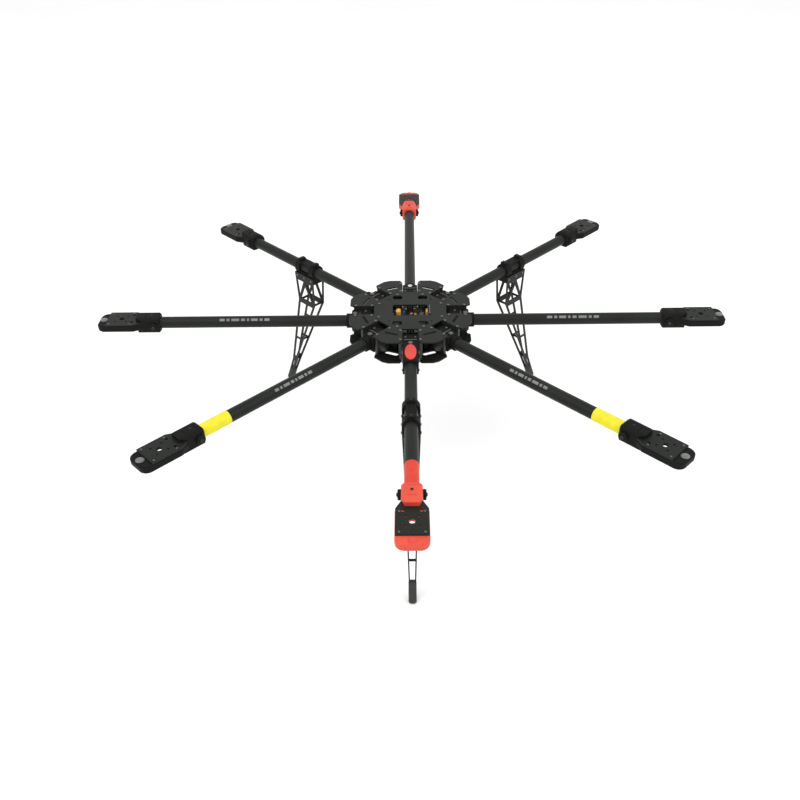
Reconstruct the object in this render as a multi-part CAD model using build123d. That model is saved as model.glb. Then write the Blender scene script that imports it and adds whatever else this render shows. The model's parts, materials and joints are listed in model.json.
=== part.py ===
"""Folding octocopter frame: eight tube arms on an octagonal hub, three lattice legs.

Millimetres, +Z up, +X right, the nose of the craft towards -Y.
The origin is on the hub axis at floor level.
"""
from build123d import *
import math
import os

# ---- driving dimensions ----
TIP_R = 540.0            # hub axis to the outer end of a motor mount
MOTOR_R = 500.0          # hub axis to a motor axis
ARM_Z = 300.0            # height of the arm axes above the floor
TUBE_R = 10.0            # arm tube, outside radius
TUBE_WALL = 1.0
FIT = 0.05               # radial gap of a running or sliding fit

# hub plates
APOTHEM = 104.0          # hub axis to a flat of the octagon
PLATE_T = 2.5
PLATE_GAP = 36.0         # between the two plates
HALF_GAP = PLATE_GAP / 2
NOTCH_HALF = 14.0        # half width of the slot that an arm folds through
NOTCH_CORNER = 1.5
NOTCH_MOUTH_HALF = 18.0
NOTCH_MOUTH_DEPTH = 6.0
PLATE_CHAMFER = 6.0
TOP_NOTCH_R = 62.0       # inner end of the slot in the top plate
BOTTOM_NOTCH_R = 57.0    # inner end of the slot in the bottom plate
WINDOW = (60.0, 36.0)    # opening over the power board
TOP_VENT = (24.0, 5.0)   # slots between the arms
BOTTOM_VENT = (24.0, 9.0)
VENT_R = 82.0
TOP_POCKET = (16.0, 12.0)
TOP_POCKET_AT = (22.0, 43.0)
TOP_PATTERN = 72.0       # side of the square of holes for a controller or battery tray
BOTTOM_PATTERN = 56.0    # side of the square of holes for a camera mount
CABLE_HOLE_R = 10.0

# hinges between the plates
PIVOT_R = 72.0           # hub axis to a fold pin
PIN_R = 2.5
WALL_FACE = 13.5         # arm axis to the inner face of a hinge wall
WALL_T = 6.0
WALL_SPAN = (60.0, 98.0)
WALL_SCREWS = (66.0, 94.0)
STANDOFF_R = 3.0
STANDOFF_AT = 58.0
BOARD_SIDE = 84.0
BOARD_CORNER = 20.0
BOARD_T = 1.6
BOARD_POST = 34.0
POST_R = 3.0

# screws
BOLT_R = 1.5             # M3
HEAD_R = 2.75
HEAD_H = 1.8
BOLT_LEN = 10.0
CLEAR_R = 1.6

# arm root
ROOT_HALF = 13.0
ROOT_R = 14.0            # half height, and the round end about the fold pin
ROOT_END = 101.0         # end of the square part, inside the hub's edge
COLLAR_R = 12.5          # round collar that holds the tube
COLLAR_END = 110.0
SPIGOT_END = 130.0       # the root's plug inside the tube
NOSE_ROOT_END = 146.0    # the front root is longer and carries the nose marker
TUBE_START = 101.0
BUTTON_R = 4.0
BUTTON_AT = 95.0
BUTTON_PROUD = 1.8
BUTTON_LEN = 10.0
BUTTON_WELL = 14.0
NOSE_OVAL = (44.0, 19.0)
NOSE_OVAL_AT = 122.0
NOSE_T = 1.2

# motor mount
SLEEVE = (433.0, 473.0)
SLEEVE_W = 29.0
SLEEVE_H = 29.0
SLEEVE_NOSE = (462.0, 19.0)   # where the sleeve starts to narrow in plan, and its end width
TUBE_END = 460.0
BODY_START = 460.0
SHOULDER_END = 477.0     # where the body reaches its full width
BODY_W = 45.0
BODY_H = 12.0
BODY_CORNER = 13.0
DECK_T = 3.0
BODY_WALL = 4.0
LUG_R = 7.0              # round bosses for the clamp bolts on both sides of the sleeve
LUG_AT = 443.0
LUG_HALF = 17.0
MOTOR_PCD = 25.0
SHAFT_HOLE_R = 4.5
LEAD_HOLE_R = 2.6        # two holes for the motor leads, inboard of the motor
LEAD_HOLES = ((481.0, -12.0), (481.0, 12.0))
TOP_PLATE_END = 524.0
TOP_PLATE_INSET = 0.6
TOP_PLATE_T = 2.0

# coloured bands on three of the tubes
BAND = (384.0, 432.5)
BAND_T = 0.5

# lattice legs, in the upright plane of their arm
LEG_AT = 273.0           # hub axis to the middle of the clamp
RING_R = 14.0
RING_W = 12.0
RING_GAP = 39.0          # between the middles of the two rings
BRIDGE_HALF = 8.0        # joins the two rings over the tube
SADDLE = (52.0, 23.0)
SADDLE_Z = (-23.0, -6.0)
LEG_T = 2.0
RAIL = 4.2               # width of the bars left between the windows
LEG_TOP_V = 13.1         # arm axis to the middle of a leg plate at its top
LEG_FOOT_V = 4.2         # and at the foot
LEG_TOP = (-26.0, 27.0, -9.5)      # inner and outer edge of the leg plate, and its height
LEG_KNEE = (-23.0, 25.0, -70.0)
LEG_ANKLE = (61.0, 73.0, -236.0)
LEG_END = (87.0, 98.0, -291.0)
SHANK_BREAKS = (-76.0, -122.0, -174.0, -230.0)   # windows run between these heights
ANKLE_BREAKS = (-241.0, -276.0)
FOOT = (14.0, 13.0, 38.0)          # a capsule along the shank
FOOT_AT = (89.0, -283.5)           # its middle
FOOT_LEAN = 24.0
FOOT_ROUND = 4.5
SPACER_R = 2.2

ARMS = {
    "front": 270, "front_right": 315, "right": 0, "rear_right": 45,
    "rear": 90, "rear_left": 135, "left": 180, "front_left": 225,
}
LEG_ARMS = ("front", "rear_left", "rear_right")
BANDS = {"front": "band_front", "front_left": "band_front_left", "front_right": "band_front_right"}
ANGLES = tuple(ARMS.values())
BISECTORS = tuple(angle + 22.5 for angle in ANGLES)


# ---- helpers ----
def save(name, *solids):
    """Write the solids as one named node."""
    flat = []
    for item in solids:
        flat.extend(item.solids())
    shape = flat[0] if len(flat) == 1 else Compound(children=flat)
    export_step(shape, f"parts/{name}.step")


def placed(angle, *solids):
    """Solids drawn along +X about the arm axis, turned and lifted to their place."""
    return [Rot(0, 0, angle) * Pos(0, 0, ARM_Z) * solid for item in solids for solid in item.solids()]


def rod_x(radius, start, end, inner=0.0):
    """A rod or a tube along X."""
    section = Circle(radius)
    if inner:
        section -= Circle(inner)
    return extrude(Plane.YZ.offset(start) * section, end - start)


def rod_y(radius, half, x, z=0.0):
    """A rod along Y, centred on the arm axis."""
    return extrude(Plane.XZ * Pos(x, z) * Circle(radius), half, both=True)


def rod_z(radius, low, high, x=0.0, y=0.0):
    """An upright rod."""
    return extrude(Pos(x, y, low) * Circle(radius), high - low)


def block(x, y_half, z):
    """A box between two X values and two Z values, centred on Y."""
    size = Box(x[1] - x[0], 2 * y_half, z[1] - z[0])
    return Pos((x[0] + x[1]) / 2, 0, (z[0] + z[1]) / 2) * size


def polar(radius, angle):
    return radius * math.cos(math.radians(angle)), radius * math.sin(math.radians(angle))


def square(side):
    half = side / 2
    return [(x, y) for x in (-half, half) for y in (-half, half)]


# ---- hub ----
def screw_places():
    """Where screws pass through both plates: the hinge walls, then the standoffs."""
    places = []
    v = WALL_FACE + WALL_T / 2
    for angle in ANGLES:
        for u in WALL_SCREWS:
            for side in (-v, v):
                spot = Rot(0, 0, angle) * Pos(u, side)
                places.append((spot.position.X, spot.position.Y))
    places += [polar(STANDOFF_AT, angle) for angle in BISECTORS]
    return places


def notch(inner):
    """The opening for one arm: a slot with a round-cornered inner end and a flared mouth."""
    outer = APOTHEM + 10
    slot = Pos((inner + outer) / 2, 0) * Rectangle(outer - inner, 2 * NOTCH_HALF)
    slot = fillet(slot.vertices().group_by(Axis.X)[0], NOTCH_CORNER)
    mouth = make_face(Polyline(
        (APOTHEM - NOTCH_MOUTH_DEPTH, NOTCH_HALF),
        (APOTHEM, NOTCH_MOUTH_HALF),
        (outer, NOTCH_MOUTH_HALF + 5),
        (outer, -NOTCH_MOUTH_HALF - 5),
        (APOTHEM, -NOTCH_MOUTH_HALF),
        (APOTHEM - NOTCH_MOUTH_DEPTH, -NOTCH_HALF),
        close=True,
    ))
    return slot + mouth


def plate_outline(notch_inner, vent):
    """The octagon with its notches, the slots between the arms and the screw holes."""
    face = Rot(0, 0, 22.5) * RegularPolygon(APOTHEM, 8, major_radius=False)
    face = chamfer(face.vertices(), PLATE_CHAMFER)
    for angle in ANGLES:
        face -= Rot(0, 0, angle) * notch(notch_inner)
    for angle in BISECTORS:
        face -= Rot(0, 0, angle) * Pos(VENT_R, 0) * SlotOverall(vent[0], vent[1], 90)
    for x, y in screw_places():
        face -= Pos(x, y) * Circle(CLEAR_R)
    return face


def top_plate():
    face = plate_outline(TOP_NOTCH_R, TOP_VENT)
    face -= RectangleRounded(*WINDOW, 4)
    x, y = TOP_POCKET_AT
    for spot in ((x, y), (-x, y), (x, -y), (-x, -y)):
        face -= Pos(*spot) * RectangleRounded(*TOP_POCKET, 3)
    for spot in square(TOP_PATTERN):
        face -= Pos(*spot) * Circle(CLEAR_R)
    return extrude(Pos(0, 0, HALF_GAP) * face, PLATE_T)


def bottom_plate():
    face = plate_outline(BOTTOM_NOTCH_R, BOTTOM_VENT)
    face -= Circle(CABLE_HOLE_R)
    for spot in square(BOTTOM_PATTERN):
        face -= Pos(*spot) * Circle(CLEAR_R)
    return extrude(Pos(0, 0, -HALF_GAP - PLATE_T) * face, PLATE_T)


def hinge_wall(side):
    """One upright wall beside an arm root, with its pin bore and tapped holes."""
    v = side * (WALL_FACE + WALL_T / 2)
    length = WALL_SPAN[1] - WALL_SPAN[0]
    wall = Pos(sum(WALL_SPAN) / 2, v, 0) * Box(length, WALL_T, PLATE_GAP)
    wall = chamfer(wall.edges().filter_by(Axis.Z), 1)
    wall -= rod_y(PIN_R, 2 * WALL_FACE, PIVOT_R)
    for u in WALL_SCREWS:
        wall -= rod_z(BOLT_R + FIT, -HALF_GAP, HALF_GAP, u, v)
    return wall


def hinge_walls():
    walls = []
    for angle in ANGLES:
        walls += placed(angle, hinge_wall(1), hinge_wall(-1))
    return walls


def pivot_pins():
    pins = []
    for angle in ANGLES:
        pins += placed(angle, rod_y(PIN_R, WALL_FACE + WALL_T, PIVOT_R))
    return pins


def standoff(x, y):
    post = rod_z(STANDOFF_R, -HALF_GAP, HALF_GAP, x, y)
    return post - rod_z(BOLT_R + FIT, -HALF_GAP, HALF_GAP, x, y)


def hub_standoffs():
    """Eight posts between the plates and four short ones under the power board."""
    posts = [standoff(*polar(STANDOFF_AT, angle)) for angle in BISECTORS]
    posts += [rod_z(POST_R, -HALF_GAP, 0, x, y) for x, y in square(2 * BOARD_POST)]
    return placed(0, *posts)


def screw(x, y, side):
    """A button-head screw through the top plate (side 1) or the bottom plate (side -1)."""
    face = side * (HALF_GAP + PLATE_T)
    tip = face - side * BOLT_LEN
    head = rod_z(HEAD_R, min(face, face + side * HEAD_H), max(face, face + side * HEAD_H), x, y)
    return head + rod_z(BOLT_R, min(face, tip), max(face, tip), x, y)


def hub_screws():
    return placed(0, *[screw(x, y, side) for x, y in screw_places() for side in (1, -1)])


def power_board():
    return extrude(RectangleRounded(BOARD_SIDE, BOARD_SIDE, BOARD_CORNER), BOARD_T)


# ---- arms, drawn along +X with the arm axis on X ----
def root(end):
    """The block that turns on the fold pin, with the socket and the plug that hold a tube."""
    side = Pos(PIVOT_R, 0) * Circle(ROOT_R)
    side += Pos((PIVOT_R + end) / 2, 0) * Rectangle(end - PIVOT_R, 2 * ROOT_R)
    body = extrude(Plane.XZ * side, ROOT_HALF, both=True)
    outer_end = body.faces().sort_by(Axis.X)[-1]
    body = chamfer(outer_end.edges(), 1.5)
    body += rod_x(COLLAR_R, ROOT_END - 5, COLLAR_END)
    body -= rod_y(PIN_R + FIT, 2 * ROOT_HALF, PIVOT_R)
    body -= rod_x(TUBE_R, TUBE_START, NOSE_ROOT_END)
    body += rod_x(TUBE_R - TUBE_WALL, TUBE_START - 1, SPIGOT_END)
    body -= rod_z(BUTTON_R + FIT, ROOT_R - BUTTON_WELL, 2 * ROOT_R, BUTTON_AT)
    return body


def tube():
    return rod_x(TUBE_R, TUBE_START, TUBE_END, TUBE_R - TUBE_WALL)


def lock_button():
    top = ROOT_R + BUTTON_PROUD
    button = rod_z(BUTTON_R, top - BUTTON_LEN, top, BUTTON_AT)
    return fillet(button.edges().sort_by(Axis.Z)[-1], 0.8)


def motor_holes():
    return [polar(MOTOR_PCD / 2, angle) for angle in (45, 135, 225, 315)]


def sleeve_outline(grow=0.0):
    """Plan of the sleeve, which narrows where it runs over the motor plate."""
    half = SLEEVE_W / 2 + grow
    start, end = SLEEVE[0], SLEEVE[1] + grow
    nose_from, nose_width = SLEEVE_NOSE
    nose = nose_width / 2 + grow
    points = [
        (start, -half), (nose_from, -half), (end, -nose),
        (end, nose), (nose_from, half), (start, half),
    ]
    return make_face(Polyline(*points, close=True))


def body_outline():
    """Plan of the body: shoulders that widen from the sleeve, then a round-cornered end."""
    half = BODY_W / 2
    neck = SLEEVE_W / 2 - 1
    points = [
        (BODY_START, -neck), (SHOULDER_END, -half), (TIP_R, -half),
        (TIP_R, half), (SHOULDER_END, half), (BODY_START, neck),
    ]
    face = make_face(Polyline(*points, close=True))
    face = fillet(face.vertices().group_by(Axis.X)[-1], BODY_CORNER)
    return fillet(face.vertices().filter_by_position(Axis.X, SHOULDER_END - 1, SHOULDER_END + 1), 6)


def beyond(u):
    """Everything on the arm beyond a distance from the hub axis, in plan."""
    return Pos(u + TIP_R / 2, 0) * Rectangle(TIP_R, TIP_R)


def mount_sleeve():
    """The part of the mount that holds the tube, with its two round lugs."""
    sleeve = extrude(Pos(0, 0, -SLEEVE_H / 2) * sleeve_outline(), SLEEVE_H)
    long_edges = sleeve.edges().filter_by(Axis.X)
    sleeve = fillet(long_edges, 7)
    sleeve = chamfer(sleeve.faces().sort_by(Axis.X)[0].edges(), 2.5)
    return sleeve + rod_y(LUG_R, LUG_HALF, LUG_AT)


def motor_openings():
    """Where the motor's screws, shaft and leads pass, as (radius, x, y)."""
    openings = [(CLEAR_R, MOTOR_R + x, y) for x, y in motor_holes()]
    openings.append((SHAFT_HOLE_R, MOTOR_R, 0))
    openings += [(LEAD_HOLE_R, x, y) for x, y in LEAD_HOLES]
    return openings


def mount_housing():
    """The moulded motor mount: a sleeve on the tube, then a flat body open below."""
    outline = body_outline()
    body = extrude(Pos(0, 0, -BODY_H / 2) * outline, BODY_H)
    body = fillet(body.faces().sort_by(Axis.Z)[0].edges(), 3)
    body = chamfer(body.faces().sort_by(Axis.Z)[-1].edges().filter_by_position(
        Axis.X, TOP_PLATE_END, TIP_R + 1), 2.5)
    pocket = offset(outline, -BODY_WALL) & beyond(SLEEVE[1] + BODY_WALL)
    body -= extrude(Pos(0, 0, -BODY_H) * pocket, 1.5 * BODY_H - DECK_T)
    whole = body + mount_sleeve()
    whole -= rod_x(TUBE_R, SLEEVE[0], TUBE_END)
    for radius, x, y in motor_openings():
        whole -= rod_z(radius, 0, BODY_H, x, y)
    return whole


def motor_plate():
    """The carbon plate that a motor is bolted on; it follows the body round the sleeve."""
    face = offset(body_outline(), -TOP_PLATE_INSET) - beyond(TOP_PLATE_END)
    face -= sleeve_outline(0.2)
    face = face.faces().sort_by(Axis.X)[-1]
    for radius, x, y in motor_openings():
        face -= Pos(x, y) * Circle(radius)
    return extrude(Pos(0, 0, BODY_H / 2) * face, TOP_PLATE_T)


def band():
    return rod_x(TUBE_R + BAND_T, *BAND, TUBE_R)


def nose_marker():
    """The oval marker on top of the front root."""
    oval = Pos(NOSE_OVAL_AT, 0, ROOT_R) * Ellipse(NOSE_OVAL[0] / 2, NOSE_OVAL[1] / 2)
    marker = extrude(oval, NOSE_T)
    return fillet(marker.edges().sort_by(Axis.Z)[-1], 0.6)


# ---- legs ----
def edge_at(z, upper, lower):
    """Inner and outer edge of the leg plate at a height between two of its stations."""
    part = (upper[2] - z) / (upper[2] - lower[2])
    inner = upper[0] + (lower[0] - upper[0]) * part
    outer = upper[1] + (lower[1] - upper[1]) * part
    return inner, outer


def leg_outline():
    """Side view of a leg plate: X from the clamp middle outwards, Y upwards."""
    stations = (LEG_TOP, LEG_KNEE, LEG_ANKLE, LEG_END)
    points = [(outer, z) for inner, outer, z in stations]
    points += [(inner, z) for inner, outer, z in reversed(stations)]
    return make_face(Polyline(*points, close=True))


def long_window(high, low, upper, lower):
    """A window between the two edge rails, from one height down to another."""
    rail = RAIL * 1.12
    inner_high, outer_high = edge_at(high, upper, lower)
    inner_low, outer_low = edge_at(low, upper, lower)
    points = [
        (inner_high + rail, high), (outer_high - rail, high),
        (outer_low - rail, low), (inner_low + rail, low),
    ]
    return make_face(Polyline(*points, close=True))


def leg_openings():
    """Three windows above the knee, three down the shank and one at the ankle."""
    top = SADDLE_Z[0] - 2
    low = LEG_KNEE[2] + 5
    windows = [make_face(Polyline(*points, close=True)) for points in (
        [(-21.5, top), (-2, top), (-19.5, low + 4)],
        [(-15, low), (1, top - 9), (17, low)],
        [(4, top), (22.5, top), (20.5, low + 4)],
    )]
    for high, low in zip(SHANK_BREAKS, SHANK_BREAKS[1:]):
        windows.append(long_window(high, low + RAIL, LEG_KNEE, LEG_ANKLE))
    windows.append(long_window(*ANKLE_BREAKS, LEG_ANKLE, LEG_END))
    return windows


def leg_plate(side):
    face = leg_outline()
    for window in leg_openings():
        face -= window
    plate = extrude(Plane.XZ * face, LEG_T / 2, both=True)
    lean = math.degrees(math.atan2(LEG_TOP_V - LEG_FOOT_V, LEG_TOP[2] - LEG_END[2]))
    hinge = Pos(LEG_AT, side * LEG_TOP_V, LEG_TOP[2])
    return hinge * Rot(-side * lean, 0, 0) * Pos(0, 0, -LEG_TOP[2]) * plate


def leg_spacers():
    """Round bars that join the two plates of a leg."""
    knee, ankle = LEG_KNEE, LEG_ANKLE
    places = [(knee[0] + RAIL, knee[2]), (knee[1] - RAIL, knee[2]), (sum(ankle[:2]) / 2, ankle[2] + 1)]
    inner, outer = edge_at(SHANK_BREAKS[2], knee, ankle)
    places.append((inner + RAIL, SHANK_BREAKS[2] + RAIL / 2))
    bars = []
    for s, z in places:
        drop = (LEG_TOP[2] - z) / (LEG_TOP[2] - LEG_END[2])
        half = LEG_TOP_V + (LEG_FOOT_V - LEG_TOP_V) * drop - LEG_T / 2 - FIT
        bars.append(rod_y(SPACER_R, half, LEG_AT + s, z))
    return bars


def leg_clamp():
    """Two bridged rings round the tube on one saddle that the leg plates are bolted to."""
    saddle = block((LEG_AT - SADDLE[0] / 2, LEG_AT + SADDLE[0] / 2), SADDLE[1] / 2, SADDLE_Z)
    clamp = chamfer(saddle.edges().filter_by(Axis.Y), 2)
    clamp += block((LEG_AT - RING_GAP / 2, LEG_AT + RING_GAP / 2), BRIDGE_HALF, (0, RING_R - 1))
    for side in (-1, 1):
        middle = LEG_AT + side * RING_GAP / 2
        clamp += rod_x(RING_R, middle - RING_W / 2, middle + RING_W / 2)
    return clamp - rod_x(TUBE_R, LEG_AT - SADDLE[0], LEG_AT + SADDLE[0])


def leg_foot():
    """A rubber shoe over the ends of both plates, with a flat sole on the floor."""
    shoe = fillet(Box(*FOOT).edges(), FOOT_ROUND)
    shoe = Pos(LEG_AT + FOOT_AT[0], 0, FOOT_AT[1]) * Rot(0, -FOOT_LEAN, 0) * shoe
    shoe -= block((LEG_AT, TIP_R), FOOT[1], (-ARM_Z - FOOT[2], -ARM_Z))
    for side in (-1, 1):
        shoe -= leg_plate(side)
    return shoe


# ---- write every node ----
def write_hub():
    save("top_plate", *placed(0, top_plate()))
    save("bottom_plate", *placed(0, bottom_plate()))
    save("hinge_walls", *hinge_walls())
    save("pivot_pins", *pivot_pins())
    save("hub_standoffs", *hub_standoffs())
    save("hub_screws", *hub_screws())
    save("power_board", *placed(0, power_board()))


def write_arms():
    plain_root = root(ROOT_END)
    nose_root = root(NOSE_ROOT_END)
    pieces = {
        "tube": tube(), "lock": lock_button(),
        "mount": mount_housing(), "motor_plate": motor_plate(),
    }
    for name, angle in ARMS.items():
        for kind, solid in pieces.items():
            save(f"{kind}_{name}", *placed(angle, solid))
        save(f"root_{name}", *placed(angle, nose_root if name == "front" else plain_root))
    for name, node in BANDS.items():
        save(node, *placed(ARMS[name], band()))
    save("nose_marker", *placed(ARMS["front"], nose_marker()))


def write_legs():
    frame = [leg_plate(1), leg_plate(-1)] + leg_spacers()
    clamp = leg_clamp()
    foot = leg_foot()
    for name in LEG_ARMS:
        save(f"leg_frame_{name}", *placed(ARMS[name], *frame))
        save(f"leg_clamp_{name}", *placed(ARMS[name], clamp))
        save(f"leg_foot_{name}", *placed(ARMS[name], foot))


os.makedirs("parts", exist_ok=True)
write_hub()
write_arms()
write_legs()
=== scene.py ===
import json
import math

import bmesh
import bpy
from mathutils import Matrix, Vector


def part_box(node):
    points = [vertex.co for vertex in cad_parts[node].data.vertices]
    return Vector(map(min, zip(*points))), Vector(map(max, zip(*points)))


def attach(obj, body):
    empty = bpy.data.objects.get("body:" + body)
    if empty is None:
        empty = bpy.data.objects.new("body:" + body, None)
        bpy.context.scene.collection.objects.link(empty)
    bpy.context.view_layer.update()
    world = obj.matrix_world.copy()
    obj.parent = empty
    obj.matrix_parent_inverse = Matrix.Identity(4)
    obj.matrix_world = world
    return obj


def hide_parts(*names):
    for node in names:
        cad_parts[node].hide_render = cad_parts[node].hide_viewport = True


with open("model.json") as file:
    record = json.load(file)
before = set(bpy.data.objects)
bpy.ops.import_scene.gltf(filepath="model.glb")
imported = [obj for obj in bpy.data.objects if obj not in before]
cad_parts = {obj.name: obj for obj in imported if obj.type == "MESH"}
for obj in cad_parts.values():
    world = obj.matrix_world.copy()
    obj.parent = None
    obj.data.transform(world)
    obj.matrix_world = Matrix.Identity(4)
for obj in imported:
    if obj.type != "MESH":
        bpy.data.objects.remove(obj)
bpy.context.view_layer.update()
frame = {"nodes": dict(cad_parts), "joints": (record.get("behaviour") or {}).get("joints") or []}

# Folding octocopter frame. Metres, +Z up, the nose towards -Y.
# Arm pieces are drawn with the arm axis on X (u), Y across it (v) and Z up from it.

nodes = frame["nodes"]
MM = 0.001

# ---- places taken from the frame ----
HINGES = {j["name"][5:]: j for j in frame["joints"] if j["name"].startswith("fold_")}
ARM_Z = HINGES["front"]["pos_m"][2]
ANGLES = {name: math.atan2(j["pos_m"][1], j["pos_m"][0]) for name, j in HINGES.items()}
ARMS = tuple(ANGLES)
LEGS = tuple(name for name in ARMS if "leg_frame_" + name in nodes)
RED = ("front", "rear")
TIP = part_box("mount_right")[1][0]
PLATE_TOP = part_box("top_plate")[1][2] - ARM_Z
PLATE_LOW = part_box("bottom_plate")[0][2] - ARM_Z
SLEEVE_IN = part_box("mount_right")[0][0]
NOSE_END = -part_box("root_front")[0][1]
ROOT_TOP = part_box("root_right")[1][2] - ARM_Z
ROOT_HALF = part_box("root_right")[1][1]
MOTOR_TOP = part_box("motor_plate_right")[1][2] - ARM_Z
SLEEVE_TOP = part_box("mount_right")[1][2] - ARM_Z
BOARD_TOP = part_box("power_board")[1][2] - ARM_Z
TUBE_R = (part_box("tube_right")[1][2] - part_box("tube_right")[0][2]) / 2
MOTOR_U = TIP - 40 * MM
PLATE_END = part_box("motor_plate_right")[1][0]
CLAMP_IN = -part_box("leg_clamp_front")[1][1]
CLAMP_OUT = -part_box("leg_clamp_front")[0][1]


def arm_matrix(name):
    return Matrix.Translation((0, 0, ARM_Z)) @ Matrix.Rotation(ANGLES[name], 4, "Z")


# ---- shader helpers ----
def new_material(name):
    """An empty node material with its output and a Principled BSDF."""
    material = bpy.data.materials.new(name)
    material.use_nodes = True
    tree = material.node_tree
    tree.nodes.clear()
    output = tree.nodes.new("ShaderNodeOutputMaterial")
    shader = tree.nodes.new("ShaderNodeBsdfPrincipled")
    tree.links.new(shader.outputs["BSDF"], output.inputs["Surface"])
    return material, tree, shader


def math_node(tree, operation, *values):
    """A Math node: each value is a number or a socket."""
    node = tree.nodes.new("ShaderNodeMath")
    node.operation = operation
    for index, value in enumerate(values):
        if isinstance(value, (int, float)):
            node.inputs[index].default_value = value
        else:
            tree.links.new(value, node.inputs[index])
    return node.outputs[0]


def ramp(tree, value, *stops):
    """A colour ramp: each stop is (position, (r, g, b))."""
    node = tree.nodes.new("ShaderNodeValToRGB")
    elements = node.color_ramp.elements
    while len(elements) < len(stops):
        elements.new(0.5)
    for element, (position, colour) in zip(elements, stops):
        element.position = position
        element.color = (*colour, 1)
    tree.links.new(value, node.inputs[0])
    return node.outputs["Color"]


def spread(tree, value, low, high):
    """Maps 0..1 to low..high."""
    node = tree.nodes.new("ShaderNodeMapRange")
    node.inputs["To Min"].default_value = low
    node.inputs["To Max"].default_value = high
    tree.links.new(value, node.inputs["Value"])
    return node.outputs["Result"]


def place(tree, angle=0.0, stretch=(1, 1, 1)):
    """Object coordinates turned so that X runs along an arm."""
    source = tree.nodes.new("ShaderNodeTexCoord")
    turn = tree.nodes.new("ShaderNodeMapping")
    turn.inputs["Rotation"].default_value = (0, 0, -angle)
    tree.links.new(source.outputs["Object"], turn.inputs["Vector"])
    if stretch == (1, 1, 1):
        return turn.outputs["Vector"]
    scale = tree.nodes.new("ShaderNodeMapping")
    scale.inputs["Scale"].default_value = stretch
    tree.links.new(turn.outputs["Vector"], scale.inputs["Vector"])
    return scale.outputs["Vector"]


def noise(tree, vector, scale, detail=3.0, rough=0.5):
    node = tree.nodes.new("ShaderNodeTexNoise")
    node.inputs["Scale"].default_value = scale
    node.inputs["Detail"].default_value = detail
    node.inputs["Roughness"].default_value = rough
    tree.links.new(vector, node.inputs["Vector"])
    return node.outputs["Fac"]


def bump(tree, shader, height, distance, strength=1.0):
    node = tree.nodes.new("ShaderNodeBump")
    node.inputs["Distance"].default_value = distance
    node.inputs["Strength"].default_value = strength
    tree.links.new(height, node.inputs["Height"])
    tree.links.new(node.outputs["Normal"], shader.inputs["Normal"])


def split(tree, vector):
    node = tree.nodes.new("ShaderNodeSeparateXYZ")
    tree.links.new(vector, node.inputs[0])
    return node.outputs


# ---- materials ----
TOW = 2.0 * MM


def twill(tree, x, y):
    """A 2 by 2 twill of flat tows: which tow is on top, and the crown of each tow."""
    a = math_node(tree, "DIVIDE", x, TOW)
    b = math_node(tree, "DIVIDE", y, TOW)
    step = math_node(tree, "ADD", math_node(tree, "FLOOR", a), math_node(tree, "FLOOR", b))
    over = math_node(tree, "LESS_THAN", math_node(tree, "FLOORED_MODULO", step, 4.0), 2.0)
    crown_a = math_node(tree, "ABSOLUTE", math_node(tree, "SINE", math_node(tree, "MULTIPLY", a, math.pi)))
    crown_b = math_node(tree, "ABSOLUTE", math_node(tree, "SINE", math_node(tree, "MULTIPLY", b, math.pi)))
    first = math_node(tree, "MULTIPLY", over, crown_b)
    second = math_node(tree, "MULTIPLY", math_node(tree, "SUBTRACT", 1.0, over), crown_a)
    return over, math_node(tree, "ADD", first, second)


def carbon(name, angle=0.0, round_tube=False, tint=1.0, roughness=(0.34, 0.5)):
    """Satin woven carbon. On a tube the weave wraps round the arm axis."""
    material, tree, shader = new_material(name)
    x, y, z = split(tree, place(tree, angle))
    if round_tube:
        height = math_node(tree, "SUBTRACT", z, ARM_Z)
        y = math_node(tree, "MULTIPLY", math_node(tree, "ARCTAN2", height, y), TUBE_R)
    over, crown = twill(tree, x, y)
    blotch = noise(tree, place(tree, angle), 18.0)
    fibre = noise(tree, place(tree, angle, (1, 12, 12) if round_tube else (3, 3, 1)), 260.0, 2.0)
    weave = 0.4 if round_tube else 0.45
    level = math_node(tree, "MULTIPLY_ADD", crown, 0.3 * weave, math_node(tree, "MULTIPLY", over, 0.25 * weave))
    level = math_node(tree, "MULTIPLY_ADD", fibre, 0.3, level)
    level = math_node(tree, "MULTIPLY_ADD", blotch, 0.35, level)
    dark, mid, pale = ((0.004, 0.0046, 0.004), (0.0122, 0.0146, 0.0118), (0.034, 0.040, 0.032))
    colour = ramp(tree, level, (0.1, tuple(c * tint for c in dark)),
                  (0.5, tuple(c * tint for c in mid)), (1.0, tuple(c * tint for c in pale)))
    tree.links.new(colour, shader.inputs["Base Color"])
    rough = math_node(tree, "MULTIPLY_ADD", over, 0.4, math_node(tree, "MULTIPLY", blotch, 0.6))
    tree.links.new(spread(tree, rough, *roughness), shader.inputs["Roughness"])
    shader.inputs["Specular IOR Level"].default_value = 0.14
    bump(tree, shader, crown, 0.05 * MM, 0.4 * weave)
    return material


def edge_nearness(tree, radius):
    """1 where an edge is within radius, from the difference of a rounded and the true normal."""
    bevel = tree.nodes.new("ShaderNodeBevel")
    bevel.samples = 4
    bevel.inputs["Radius"].default_value = radius
    geometry = tree.nodes.new("ShaderNodeNewGeometry")
    dot = tree.nodes.new("ShaderNodeVectorMath")
    dot.operation = "DOT_PRODUCT"
    tree.links.new(bevel.outputs["Normal"], dot.inputs[0])
    tree.links.new(geometry.outputs["Normal"], dot.inputs[1])
    gap = math_node(tree, "SUBTRACT", 1.0, dot.outputs["Value"])
    return math_node(tree, "MINIMUM", math_node(tree, "MULTIPLY", gap, 6.0), 1.0)


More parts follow.
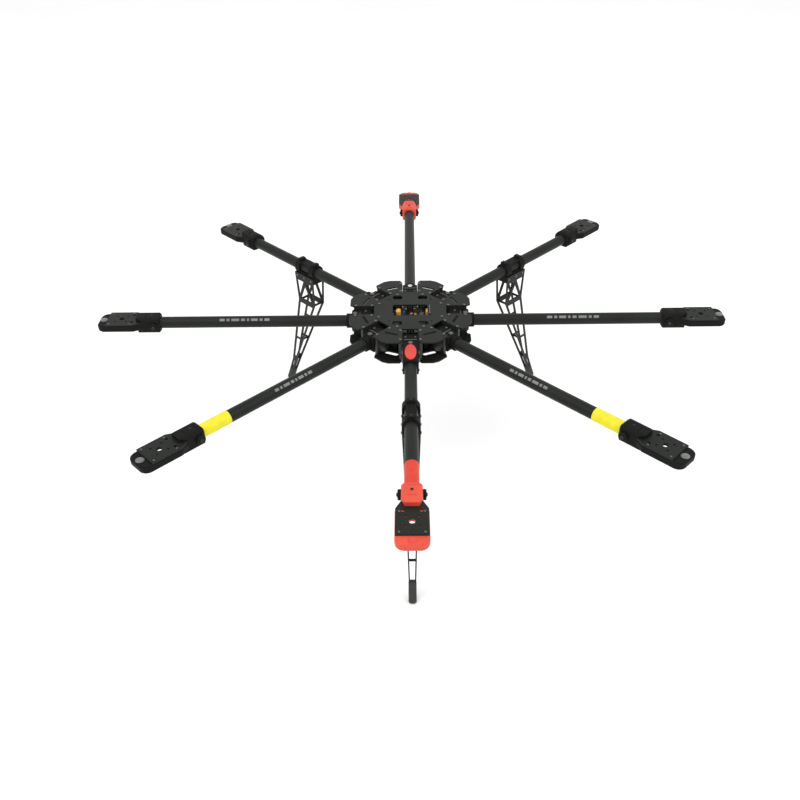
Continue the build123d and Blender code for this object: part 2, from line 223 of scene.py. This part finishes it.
def moulded(name, colour, roughness=(0.42, 0.62), grain=0.06, wear_and_highlight_amount=0.35, spec=0.07):
    """Fine-grained moulded nylon, a little paler along its edges: partly wear, partly a painted edge highlight.
    """
    material, tree, shader = new_material(name)
    vector = place(tree)
    fine = noise(tree, vector, 1700.0, 3.0, 0.6)
    broad = noise(tree, vector, 35.0, 4.0)
    # Paler edges: partly wear, partly a painted highlight where edges catch the light.
    wear_and_edge_highlight = math_node(tree, "MULTIPLY", edge_nearness(tree, 0.7 * MM), noise(tree, vector, 160.0))
    level = math_node(tree, "MULTIPLY_ADD", wear_and_edge_highlight, wear_and_highlight_amount * 2, math_node(tree, "MULTIPLY", broad, 0.5))
    level = math_node(tree, "MULTIPLY_ADD", fine, 0.2, level)
    low = tuple(c * 0.72 for c in colour)
    high = tuple(min(1.0, c * 1.5 + 0.02) for c in colour)
    tree.links.new(ramp(tree, level, (0.15, low), (0.45, colour), (1.0, high)),
                   shader.inputs["Base Color"])
    tree.links.new(spread(tree, broad, *roughness), shader.inputs["Roughness"])
    shader.inputs["Specular IOR Level"].default_value = spec
    bump(tree, shader, fine, grain * MM, 0.6)
    return material


def metal(name, colour, roughness=(0.22, 0.4), stretch=(1, 1, 1), metallic=1.0):
    """Turned or brushed metal with fine lines and a few darker patches."""
    material, tree, shader = new_material(name)
    lines = noise(tree, place(tree, 0.0, stretch), 900.0, 4.0, 0.7)
    broad = noise(tree, place(tree), 90.0, 3.0)
    level = math_node(tree, "MULTIPLY_ADD", lines, 0.5, math_node(tree, "MULTIPLY", broad, 0.5))
    low = tuple(c * 0.7 for c in colour)
    high = tuple(min(1.0, c * 1.2) for c in colour)
    tree.links.new(ramp(tree, level, (0.2, low), (0.5, colour), (0.85, high)), shader.inputs["Base Color"])
    tree.links.new(spread(tree, level, *roughness), shader.inputs["Roughness"])
    shader.inputs["Metallic"].default_value = metallic
    bump(tree, shader, lines, 0.01 * MM, 0.4)
    return material


def rubber(name):
    """Matt black rubber with dust in its grain."""
    material, tree, shader = new_material(name)
    grain = noise(tree, place(tree), 900.0, 4.0, 0.65)
    dust = noise(tree, place(tree), 60.0, 3.0)
    level = math_node(tree, "MULTIPLY_ADD", dust, 0.6, math_node(tree, "MULTIPLY", grain, 0.4))
    tree.links.new(ramp(tree, level, (0.3, (0.012, 0.012, 0.012)), (0.9, (0.06, 0.058, 0.054))),
                   shader.inputs["Base Color"])
    tree.links.new(spread(tree, dust, 0.68, 0.9), shader.inputs["Roughness"])
    bump(tree, shader, grain, 0.08 * MM, 0.7)
    return material


def sleeve_film(name, colour):
    """Heat-shrunk coloured sleeve: slight ripples round the tube, semi-gloss."""
    material, tree, shader = new_material(name)
    ripple = noise(tree, place(tree, 0.0, (1, 1, 1)), 120.0, 3.0)
    fleck = noise(tree, place(tree), 800.0, 2.0)
    level = math_node(tree, "MULTIPLY_ADD", ripple, 0.7, math_node(tree, "MULTIPLY", fleck, 0.3))
    low = tuple(c * 0.86 for c in colour)
    high = tuple(min(1.0, c * 1.08 + 0.01) for c in colour)
    tree.links.new(ramp(tree, level, (0.25, low), (0.75, high)), shader.inputs["Base Color"])
    tree.links.new(spread(tree, ripple, 0.34, 0.5), shader.inputs["Roughness"])
    shader.inputs["Specular IOR Level"].default_value = 0.3
    bump(tree, shader, ripple, 0.12 * MM, 0.5)
    return material


def board_mask(name):
    """Black solder mask over copper tracks that run on a coarse grid."""
    material, tree, shader = new_material(name)
    vector = place(tree)
    tracks = tree.nodes.new("ShaderNodeTexVoronoi")
    tracks.distance = "CHEBYCHEV"
    tracks.inputs["Scale"].default_value = 150.0
    tree.links.new(vector, tracks.inputs["Vector"])
    line = math_node(tree, "GREATER_THAN", tracks.outputs["Distance"], 0.42)
    cloud = math_node(tree, "MULTIPLY", noise(tree, vector, 80.0), 0.4)
    level = math_node(tree, "MULTIPLY_ADD", line, 0.5, cloud)
    tree.links.new(ramp(tree, level, (0.1, (0.008, 0.010, 0.008)), (0.9, (0.035, 0.045, 0.03))),
                   shader.inputs["Base Color"])
    tree.links.new(spread(tree, level, 0.25, 0.45), shader.inputs["Roughness"])
    bump(tree, shader, line, 0.05 * MM, 0.5)
    return material


def lens_plastic(name):
    """Milky light lens."""
    material, tree, shader = new_material(name)
    cloud = noise(tree, place(tree), 400.0)
    tree.links.new(ramp(tree, cloud, (0.3, (0.085, 0.088, 0.086)), (0.8, (0.15, 0.155, 0.15))),
                   shader.inputs["Base Color"])
    tree.links.new(spread(tree, cloud, 0.12, 0.3), shader.inputs["Roughness"])
    shader.inputs["Coat Weight"].default_value = 0.5
    bump(tree, shader, cloud, 0.02 * MM, 0.3)
    return material


def floor_paint(name):
    """Matt studio floor, nearly white."""
    material, tree, shader = new_material(name)
    cloud = noise(tree, place(tree), 1.5, 3.0)
    tree.links.new(ramp(tree, cloud, (0.2, (0.945, 0.945, 0.942)), (0.8, (0.975, 0.975, 0.972))),
                   shader.inputs["Base Color"])
    tree.links.new(spread(tree, cloud, 0.7, 0.85), shader.inputs["Roughness"])
    return material


BLACK = (0.0085, 0.0088, 0.008)
M = {
    "plate": carbon("carbon_plate"),
    "leg": carbon("carbon_leg_plate", tint=0.8),
    "black": moulded("black_nylon", BLACK),
    "red": moulded("red_nylon", (0.68, 0.073, 0.040), (0.36, 0.52), 0.04, 0.12, 0.3),
    "alloy": metal("black_anodised", (0.05, 0.05, 0.048), (0.3, 0.45), metallic=0.7),
    "steel": metal("bright_steel", (0.72, 0.72, 0.70), (0.16, 0.34)),
    "button": metal("turned_steel", (0.15, 0.15, 0.145), (0.3, 0.5)),
    "screw": metal("blackened_steel", (0.16, 0.16, 0.155), (0.3, 0.46)),
    "dark_screw": metal("black_oxide_steel", (0.05, 0.05, 0.048), (0.3, 0.48)),
    "wire": metal("spring_wire", (0.15, 0.15, 0.145), (0.2, 0.36), (1, 1, 4)),
    "can": metal("capacitor_can", (0.30, 0.32, 0.36), (0.25, 0.4)),
    "lead": moulded("wire_insulation", (0.012, 0.012, 0.013), (0.35, 0.5), 0.01, 0.1, 0.3),
    "blue": moulded("blue_insulation", (0.03, 0.09, 0.30), (0.35, 0.5), 0.02, 0.1, 0.4),
    "brass": metal("gold_contact", (0.95, 0.62, 0.20), (0.2, 0.38)),
    "amber": moulded("amber_plastic", (0.92, 0.42, 0.05), (0.3, 0.42), 0.02, 0.1, 0.45),
    "red_film": sleeve_film("red_sleeve", (0.60, 0.036, 0.014)),
    "yellow_film": sleeve_film("yellow_sleeve", (0.74, 0.66, 0.012)),
    "oval": moulded("red_oval_plastic", (0.66, 0.07, 0.06), (0.3, 0.42), 0.03, 0.12),
    "board": board_mask("solder_mask"),
    "rubber": rubber("foot_rubber"),
    "lens": lens_plastic("milky_lens"),
    # The pale grey of the dashes along the tubes is a painted highlight streak.
    "mark": moulded("painted_highlight_grey", (0.22, 0.225, 0.22), (0.45, 0.6), 0.01, 0.0),
    "floor": floor_paint("studio_floor"),
}


def dress(node, material):
    """Gives a CAD node its finished material."""
    slots = nodes[node].material_slots
    for slot in slots:
        slot.material = material
    if not slots:
        nodes[node].data.materials.append(material)


def dress_frame():
    for node, key in (("top_plate", "plate"), ("bottom_plate", "plate"), ("hinge_walls", "alloy"),
                      ("pivot_pins", "steel"), ("hub_standoffs", "alloy"), ("hub_screws", "screw"),
                      ("power_board", "board"), ("nose_marker", "oval"), ("band_front", "red_film"),
                      ("band_front_left", "yellow_film"), ("band_front_right", "yellow_film")):
        dress(node, M[key])
    for name in ARMS:
        dress("tube_" + name, carbon("carbon_tube_" + name, ANGLES[name], True))
        dress("root_" + name, M["black"])
        dress("mount_" + name, M["red" if name in RED else "black"])
        dress("motor_plate_" + name, M["plate"])
        dress("lock_" + name, M["steel" if name == "rear" else "button"])
    for name in LEGS:
        dress("leg_frame_" + name, M["leg"])
        dress("leg_clamp_" + name, M["black"])
        dress("leg_foot_" + name, M["rubber"])


# ---- mesh helpers ----
TURNS = {"Z": Matrix.Identity(3), "-Z": Matrix.Rotation(math.pi, 3, "X"),
         "Y": Matrix.Rotation(-math.pi / 2, 3, "X"), "-Y": Matrix.Rotation(math.pi / 2, 3, "X")}
SIDES = ((1, "Y"), (-1, "-Y"))


def finish_piece(name, bm, matrix, body, material, smooth=35.0):
    """Turns a bmesh into a piece that rides on a body."""
    bmesh.ops.remove_doubles(bm, verts=bm.verts, dist=1e-6)
    bmesh.ops.recalc_face_normals(bm, faces=bm.faces)
    mesh = bpy.data.meshes.new(name)
    bm.to_mesh(mesh)
    bm.free()
    piece = bpy.data.objects.new(name, mesh)
    bpy.context.scene.collection.objects.link(piece)
    piece.matrix_world = matrix
    mesh.materials.append(material)
    mesh.shade_smooth()
    mesh.set_sharp_from_angle(angle=math.radians(smooth))
    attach(piece, body)
    return piece


def lathe(bm, profile, at=(0, 0, 0), axis="Z", segments=32):
    """Revolves (radius, height) points about an axis through a point; ends on the axis close it."""
    rings = []
    for radius, height in profile:
        if radius < 1e-7:
            rings.append([bm.verts.new((0, 0, height))])
            continue
        ring = []
        for k in range(segments):
            angle = 2 * math.pi * k / segments
            ring.append(bm.verts.new((radius * math.cos(angle), radius * math.sin(angle), height)))
        rings.append(ring)
    for low, high in zip(rings, rings[1:]):
        for k in range(segments):
            n = (k + 1) % segments
            if len(low) == 1 and len(high) == 1:
                continue
            if len(low) == 1:
                bm.faces.new((low[0], high[k], high[n]))
            elif len(high) == 1:
                bm.faces.new((low[k], low[n], high[0]))
            else:
                bm.faces.new((low[k], low[n], high[n], high[k]))
    verts = [v for ring in rings for v in ring]
    for v in verts:
        v.co = TURNS[axis] @ v.co + Vector(at)
    return verts


def button_screw(bm, at, axis, radius=2.4 * MM, height=1.5 * MM, hex_r=1.05 * MM):
    """A domed head with a hexagonal socket, sitting on the face at the given point."""
    dome = [(radius * 0.96, 0), (radius, height * 0.12), (radius * 0.97, height * 0.35),
            (radius * 0.84, height * 0.68), (radius * 0.62, height * 0.94), (hex_r * 1.25, height)]
    verts = lathe(bm, dome, segments=24)
    rim = verts[-24:]
    mouth, floor = [], []
    for k in range(24):
        angle = 2 * math.pi * k / 24
        flat = math.cos(math.pi / 6) / math.cos((angle % (math.pi / 3)) - math.pi / 6)
        r = hex_r * flat
        mouth.append(bm.verts.new((r * math.cos(angle), r * math.sin(angle), height * 0.97)))
        floor.append(bm.verts.new((r * math.cos(angle), r * math.sin(angle), height * 0.35)))
    for k in range(24):
        n = (k + 1) % 24
        bm.faces.new((rim[k], rim[n], mouth[n], mouth[k]))
        bm.faces.new((mouth[k], mouth[n], floor[n], floor[k]))
    bm.faces.new(floor)
    for v in verts + mouth + floor:
        v.co = TURNS[axis] @ v.co + Vector(at)


def rounded_box(bm, low, high, radius, segments=3):
    """A box with all its edges rounded."""
    size = Vector(high) - Vector(low)
    middle = (Vector(high) + Vector(low)) / 2
    matrix = Matrix.Translation(middle) @ Matrix.Diagonal((*size, 1))
    made = bmesh.ops.create_cube(bm, size=1.0, matrix=matrix)
    edges = list({e for v in made["verts"] for e in v.link_edges})
    bmesh.ops.bevel(bm, geom=edges, offset=radius, segments=segments, affect="EDGES", profile=0.5)


# ---- hub pieces ----
WALL_SCREWS = (66 * MM, 94 * MM)
WALL_HALF = 16.5 * MM
STANDOFF_AT = 58 * MM
HALF_STEP = math.pi / 8   # from an arm to the middle of the gap beside it
HUB = Matrix.Translation((0, 0, ARM_Z))


def hub_screw_places():
    """Hinge-wall screws beside every arm, then one screw on each standoff between the arms."""
    places = []
    for angle in ANGLES.values():
        turn = Matrix.Rotation(angle, 3, "Z")
        for u in WALL_SCREWS:
            for v in (-WALL_HALF, WALL_HALF):
                places.append(turn @ Vector((u, v, 0)))
        places.append(Matrix.Rotation(angle + HALF_STEP, 3, "Z") @ Vector((STANDOFF_AT, 0, 0)))
    return places


def add_hub_screws():
    bm = bmesh.new()
    for spot in hub_screw_places():
        button_screw(bm, (spot.x, spot.y, PLATE_TOP), "Z")
        button_screw(bm, (spot.x, spot.y, PLATE_LOW), "-Z")
    piece = finish_piece("hub_button_screws", bm, HUB, "hub", M["screw"])
    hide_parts("hub_screws")


def add_hub_edge_bits():
    """A bright wire clip over every hinge and two cap screws on top of each root."""
    for name in ARMS:
        bm = bmesh.new()
        r, reach, top = 0.8 * MM, 10.5 * MM, ROOT_TOP + 0.75 * MM
        rod = [(0, -reach), (r, -reach), (r, reach), (0, reach)]
        lathe(bm, rod, (86.5 * MM, 0, top), "Y", 12)
        finish_piece("hinge_clip_" + name, bm, arm_matrix(name), "arm_" + name, M["wire"])
        bm = bmesh.new()
        for v in (-8.5 * MM, 8.5 * MM):
            button_screw(bm, (77 * MM, v, ROOT_TOP), "Z", 2.1 * MM, 1.4 * MM, 0.95 * MM)
        finish_piece("root_screws_" + name, bm, arm_matrix(name), "arm_" + name, M["screw"])


def add_pin_header():
    """A row of bright header pins in a black strip beside the window of the top plate."""
    x, pitch, count = 33.5 * MM, 5.08 * MM, 6
    half = pitch * count / 2
    bm = bmesh.new()
    rounded_box(bm, (x - 1.5 * MM, -half, PLATE_TOP), (x + 1.5 * MM, half, PLATE_TOP + 1.0 * MM), 0.25 * MM, 2)
    finish_piece("header_strip", bm, HUB, "hub", M["black"])
    bm = bmesh.new()
    for k in range(count):
        y = -half + pitch * (k + 0.5)
        pin = [(0.75 * MM, 0), (0.75 * MM, 0.55 * MM), (0.45 * MM, 0.75 * MM), (0, 0.75 * MM)]
        lathe(bm, pin, (x, y, PLATE_TOP + 0.98 * MM), "Z", 12)
    finish_piece("header_pins", bm, HUB, "hub", M["steel"])


def add_hub_braces():
    """Black wedge braces in the narrow gaps between the hinge walls of neighbouring arms."""
    bm = bmesh.new()
    low, high = PLATE_LOW + 3 * MM, PLATE_TOP - 3 * MM
    for angle in ANGLES.values():
        start = len(bm.verts)
        rounded_box(bm, (63 * MM, -4.6 * MM, low), (71 * MM, 4.6 * MM, high), 0.8 * MM, 2)
        bm.verts.ensure_lookup_table()
        turn = Matrix.Rotation(angle + HALF_STEP, 4, "Z")
        bmesh.ops.transform(bm, matrix=turn, verts=bm.verts[start:])
    finish_piece("hub_braces", bm, HUB, "hub", M["black"])


def add_motor_leads():
    """Three insulated wires from the board towards every arm, clear of the folding roots."""
    for name in ARMS:
        bm = bmesh.new()
        for index, v in enumerate((-5, 0, 5)):
            path = [(33, v * 0.7, 2.4), (38, v * 0.8, 6.5), (44, v, 8.0 + index * 0.6),
                    (50, v, 6.0), (54.5, v, 1.5)]
            add_wire(bm, [Vector((x * MM, y * MM, z * MM)) for x, y, z in path], 1.3 * MM)
        finish_piece("motor_leads_" + name, bm, arm_matrix(name), "hub", M["lead"], 60.0)


def add_wire(bm, points, radius, segments=10, steps=5):
    """A round wire through the points, smoothed between them, with closed ends."""
    path = []
    last = len(points) - 1
    for k in range(last):
        before, a, b, after = points[max(k - 1, 0)], points[k], points[k + 1], points[min(k + 2, last)]
        for step in range(steps):
            t = step / steps
            path.append(0.5 * (2 * a + (b - before) * t + (2 * before - 5 * a + 4 * b - after) * t ** 2
                               + (3 * a - before - 3 * b + after) * t ** 3))
    path.append(points[last])
    side = Vector((0, 1, 0))
    rings = []
    for k, point in enumerate(path):
        along = (path[min(k + 1, len(path) - 1)] - path[max(k - 1, 0)]).normalized()
        up = along.cross(side).normalized()
        across = up.cross(along)
        turns = [2 * math.pi * n / segments for n in range(segments)]
        rings.append([bm.verts.new(point + radius * (math.cos(t) * up + math.sin(t) * across)) for t in turns])
    for low, high in zip(rings, rings[1:]):
        for n in range(segments):
            m = (n + 1) % segments
            bm.faces.new((low[n], low[m], high[m], high[n]))
    bm.faces.new(rings[0])
    bm.faces.new(list(reversed(rings[-1])))


# ---- power board ----
def add_board_parts():
    """Connectors, capacitors, terminals and pads that stand on the power board."""
    base = BOARD_TOP
    bm = bmesh.new()
    for x in (-20.5 * MM, 31 * MM):
        rounded_box(bm, (x - 4 * MM, 4 * MM, base), (x + 4 * MM, 15 * MM, base + 13 * MM), 1.4 * MM)
    finish_piece("power_connectors", bm, HUB, "hub", M["amber"])
    bm = bmesh.new()
    for x in (-20.5 * MM, 31 * MM):
        for y in (6.8 * MM, 12.2 * MM):
            lathe(bm, [(0, 0), (1.7 * MM, 0), (1.7 * MM, 1.6 * MM), (1.3 * MM, 2.0 * MM), (0, 2.0 * MM)],
                  (x, y, base + 12.6 * MM), "Z", 16)
    for x, y in ((2 * MM, 11 * MM), (9 * MM, 9 * MM)):
        stud = [(0, 0), (2.6 * MM, 0), (2.6 * MM, 6 * MM), (1.4 * MM, 6.4 * MM), (1.4 * MM, 8 * MM), (0, 8 * MM)]
        lathe(bm, stud, (x, y, base), "Z", 20)
    for k in range(16):
        angle = math.radians(22.5 * k + 11)
        x, y = 36 * MM * math.cos(angle), 36 * MM * math.sin(angle)
        low = (x - 1.6 * MM, y - 1.6 * MM, base - 0.2 * MM)
        high = (x + 1.6 * MM, y + 1.6 * MM, base + 0.5 * MM)
        rounded_box(bm, low, high, 0.2 * MM, 1)
    finish_piece("board_contacts", bm, HUB, "hub", M["brass"])
    bm = bmesh.new()
    for x, y in ((20 * MM, -4 * MM), (20 * MM, 6 * MM), (-8 * MM, -9 * MM)):
        can = [(0, 0), (3.6 * MM, 0), (4 * MM, 0.5 * MM), (4 * MM, 8.4 * MM), (3.6 * MM, 9 * MM), (0, 8.8 * MM)]
        lathe(bm, can, (x, y, base), "Z", 28)
    finish_piece("board_capacitors", bm, HUB, "hub", M["can"])
    bm = bmesh.new()
    for x, y, w, d in ((-28, -8, 6, 4), (0, -2, 9, 7), (12, -12, 5, 4), (-16, -14, 7, 3), (28, -16, 6, 6)):
        low = (x * MM - w * MM / 2, y * MM - d * MM / 2, base - 0.1 * MM)
        high = (x * MM + w * MM / 2, y * MM + d * MM / 2, base + 1.6 * MM)
        rounded_box(bm, low, high, 0.3 * MM, 2)
    finish_piece("board_chips", bm, HUB, "hub", M["black"])
    bm = bmesh.new()
    for x, y in ((-26 * MM, 10 * MM), (-11 * MM, 8 * MM)):
        lathe(bm, [(0, 0), (1.5 * MM, 0), (1.5 * MM, 11 * MM), (1.1 * MM, 11.6 * MM), (0, 11.6 * MM)],
              (x, y, base), "Z", 16)
    finish_piece("board_leads", bm, HUB, "hub", M["blue"])


# ---- arm pieces ----
LUG_AT = SLEEVE_IN + 10 * MM
LUG_FACE = 17 * MM
EAR_TOP = 17 * MM


def add_mount_lens(name):
    """The round light near the tip."""
    bm = bmesh.new()
    r = 5.6 * MM
    base = MOTOR_TOP - 2 * MM
    profile = [(r + 0.7 * MM, base - 0.2 * MM), (r + 0.7 * MM, base + 0.3 * MM), (r, base + 0.5 * MM)]
    profile += [(r * math.cos(t), base + 0.5 * MM + 1.5 * MM * math.sin(t))
                for t in (0.3, 0.6, 0.9, 1.2, 1.4)]
    lathe(bm, profile + [(0, base + 2.0 * MM)], (TIP - 8.5 * MM, 0, 0), segments=36)
    material = M["oval"] if name in RED else M["lens"]
    finish_piece("tip_light_" + name, bm, arm_matrix(name), "arm_" + name, material)


def add_motor_plate_screws(name):
    """Four small screws that hold the motor plate at its corners."""
    bm = bmesh.new()
    for u in (MOTOR_U - 18 * MM, PLATE_END - 5 * MM):
        for v in (-16.5 * MM, 16.5 * MM):
            button_screw(bm, (u, v, MOTOR_TOP), "Z", 1.7 * MM, 1.0 * MM, 0.75 * MM)
    finish_piece("plate_screws_" + name, bm, arm_matrix(name), "arm_" + name, M["screw"])


def add_sleeve_bolts(name):
    """Black caps over the lugs on both sides of the mount sleeve, with their clamp bolts."""
    bm = bmesh.new()
    for side, axis in SIDES:
        cap = [(7.05 * MM, -3.2 * MM), (7.5 * MM, -3.0 * MM), (7.5 * MM, 1.0 * MM),
               (6.4 * MM, 2.2 * MM), (0, 2.2 * MM)]
        lathe(bm, cap, (LUG_AT, side * LUG_FACE, 0), axis, 36)
    finish_piece("sleeve_caps_" + name, bm, arm_matrix(name), "arm_" + name, M["black"])
    bm = bmesh.new()
    for side, axis in SIDES:
        button_screw(bm, (LUG_AT, side * (LUG_FACE + 2.2 * MM), 0), axis, 3.0 * MM, 1.7 * MM, 1.25 * MM)
    finish_piece("sleeve_bolts_" + name, bm, arm_matrix(name), "arm_" + name, M["dark_screw"])


def add_sleeve_ribs(name):
    """Two raised ribs and a screw on the crown of the mount sleeve."""
    bm = bmesh.new()
    for u in (SLEEVE_IN + 5 * MM, SLEEVE_IN + 24 * MM):
        rounded_box(bm, (u, -6.5 * MM, SLEEVE_TOP - 0.5 * MM), (u + 1.6 * MM, 6.5 * MM, SLEEVE_TOP + 0.7 * MM),
                    0.4 * MM, 2)
    colour = M["red" if name in RED else "black"]
    finish_piece("sleeve_ribs_" + name, bm, arm_matrix(name), "arm_" + name, colour)
    bm = bmesh.new()
    button_screw(bm, (SLEEVE_IN + 15 * MM, 0, SLEEVE_TOP), "Z", 2.2 * MM, 1.4 * MM, 1.0 * MM)
    finish_piece("sleeve_screw_" + name, bm, arm_matrix(name), "arm_" + name, M["dark_screw"])


def add_nose_bolts():
    """Clamp bolts across the end of the long front root."""
    bm = bmesh.new()
    for side, axis in SIDES:
        for z in (-9.5 * MM, 9.5 * MM):
            for u in (NOSE_END - 7 * MM, NOSE_END - 30 * MM):
                button_screw(bm, (u, side * ROOT_HALF, z), axis, 2.3 * MM, 1.5 * MM, 1.0 * MM)
    finish_piece("nose_bolts", bm, arm_matrix("front"), "arm_front", M["screw"])


def add_painted_tube_streaks(name, start, end, face_angle):
    """Plain pale dashes along a tube, all on one side of it: a painted highlight streak along the tube."""
    bm = bmesh.new()
    lengths = (9, 5, 12, 4, 7, 14, 5, 9)
    total = sum(lengths) + 3.5 * (len(lengths) - 1)
    scale = (end - start) / total
    u = start
    radius = TUBE_R + 0.06 * MM
    for length in lengths:
        rings = []
        for k in range(7):
            angle = face_angle + math.radians(-13 + 26 * k / 6)
            v, z = radius * math.cos(angle), radius * math.sin(angle)
            rings.append([bm.verts.new((x, v, z)) for x in (u, u + length * scale)])
        for low, high in zip(rings, rings[1:]):
            bm.faces.new((low[0], low[1], high[1], high[0]))
        u += (length + 3.5) * scale
    finish_piece("tube_highlight_" + name, bm, arm_matrix(name), "arm_" + name, M["mark"])


def add_clamp_bolts(name):
    """Three screws on each side of a leg clamp, through the leg plates, and two ears on top with a screw in
    each.
    """
    bm = bmesh.new()
    out = 14.1 * MM
    middle = (CLAMP_IN + CLAMP_OUT) / 2
    ears = (middle - 19.5 * MM, middle + 19.5 * MM)
    for side, axis in SIDES:
        for u in (CLAMP_IN + 6 * MM, middle, CLAMP_OUT - 6 * MM):
            button_screw(bm, (u, side * (out - 0.3 * MM), -15.5 * MM), axis, 2.4 * MM, 1.6 * MM, 1.05 * MM)
    finish_piece("clamp_bolts_" + name, bm, arm_matrix(name), "arm_" + name, M["screw"])
    bm = bmesh.new()
    for u in ears:
        rounded_box(bm, (u - 4.5 * MM, -7 * MM, 11.5 * MM), (u + 4.5 * MM, 7 * MM, EAR_TOP), 1.2 * MM)
    finish_piece("clamp_ears_" + name, bm, arm_matrix(name), "arm_" + name, M["black"])
    bm = bmesh.new()
    for u in ears:
        button_screw(bm, (u, 0, EAR_TOP), "Z", 2.5 * MM, 1.6 * MM, 1.1 * MM)
    finish_piece("clamp_ear_screws_" + name, bm, arm_matrix(name), "arm_" + name, M["dark_screw"])


def add_arm_pieces():
    for name in ARMS:
        add_mount_lens(name)
        add_motor_plate_screws(name)
        add_sleeve_bolts(name)
        add_sleeve_ribs(name)
    for name in LEGS:
        add_clamp_bolts(name)
    add_nose_bolts()
    # The dashes sit on the upper side of four tubes: painted highlight streaks.
    up = math.radians(50)
    add_painted_tube_streaks("left", 243 * MM, 329 * MM, up)
    add_painted_tube_streaks("right", 235 * MM, 324 * MM, math.pi - up)
    add_painted_tube_streaks("front_left", 227 * MM, 300 * MM, up)
    add_painted_tube_streaks("front_right", 227 * MM, 300 * MM, math.pi - up)


# ---- stage, light and camera ----
def add_floor():
    bm = bmesh.new()
    bmesh.ops.create_grid(bm, x_segments=4, y_segments=4, size=12.0)
    mesh = bpy.data.meshes.new("floor")
    bm.to_mesh(mesh)
    bm.free()
    floor = bpy.data.objects.new("floor", mesh)
    bpy.context.scene.collection.objects.link(floor)
    mesh.materials.append(M["floor"])


def add_light(name, at, size, power, aim=(0, 0, 0.25)):
    data = bpy.data.lights.new(name, "AREA")
    data.shape = "DISK"
    data.size = size
    data.energy = power
    light = bpy.data.objects.new(name, data)
    bpy.context.scene.collection.objects.link(light)
    light.location = at
    light.rotation_mode = "QUATERNION"
    light.rotation_quaternion = (Vector(aim) - Vector(at)).to_track_quat("-Z", "Y")


def add_world():
    world = bpy.data.worlds.new("studio")
    world.use_nodes = True
    world.node_tree.nodes["Background"].inputs["Color"].default_value = (1.0, 1.0, 1.0, 1)
    world.node_tree.nodes["Background"].inputs["Strength"].default_value = 1.0
    bpy.context.scene.world = world


def add_camera():
    """Looks at the frame from in front and above, rolled by about a degree."""
    azimuth, elevation, roll = math.radians(0.84), math.radians(36.47), math.radians(0.97)
    target = Vector((-0.031 * TIP, -0.431 * TIP, ARM_Z))
    distance = 2.414 * TIP
    back = Vector((math.sin(azimuth) * math.cos(elevation),
                   -math.cos(azimuth) * math.cos(elevation), math.sin(elevation)))
    right = Vector((math.cos(azimuth), math.sin(azimuth), 0))
    up = back.cross(right)
    x = right * math.cos(roll) - up * math.sin(roll)
    y = right * math.sin(roll) + up * math.cos(roll)
    data = bpy.data.cameras.new("camera")
    data.lens = 38.7
    data.sensor_width = 36.0
    camera = bpy.data.objects.new("camera", data)
    bpy.context.scene.collection.objects.link(camera)
    turn = Matrix((x, y, back)).transposed().to_4x4()
    camera.matrix_world = Matrix.Translation(target + back * distance) @ turn
    bpy.context.scene.camera = camera


dress_frame()
add_hub_screws()
add_hub_edge_bits()
add_hub_braces()
add_pin_header()
add_motor_leads()
add_board_parts()
add_arm_pieces()
add_floor()
add_world()
add_light("key", (-1.2, -1.0, 2.6), 2.4, 26)
add_light("fill", (1.6, -0.6, 2.0), 2.0, 14)
add_camera()
bpy.context.scene.view_settings.view_transform = "Standard"
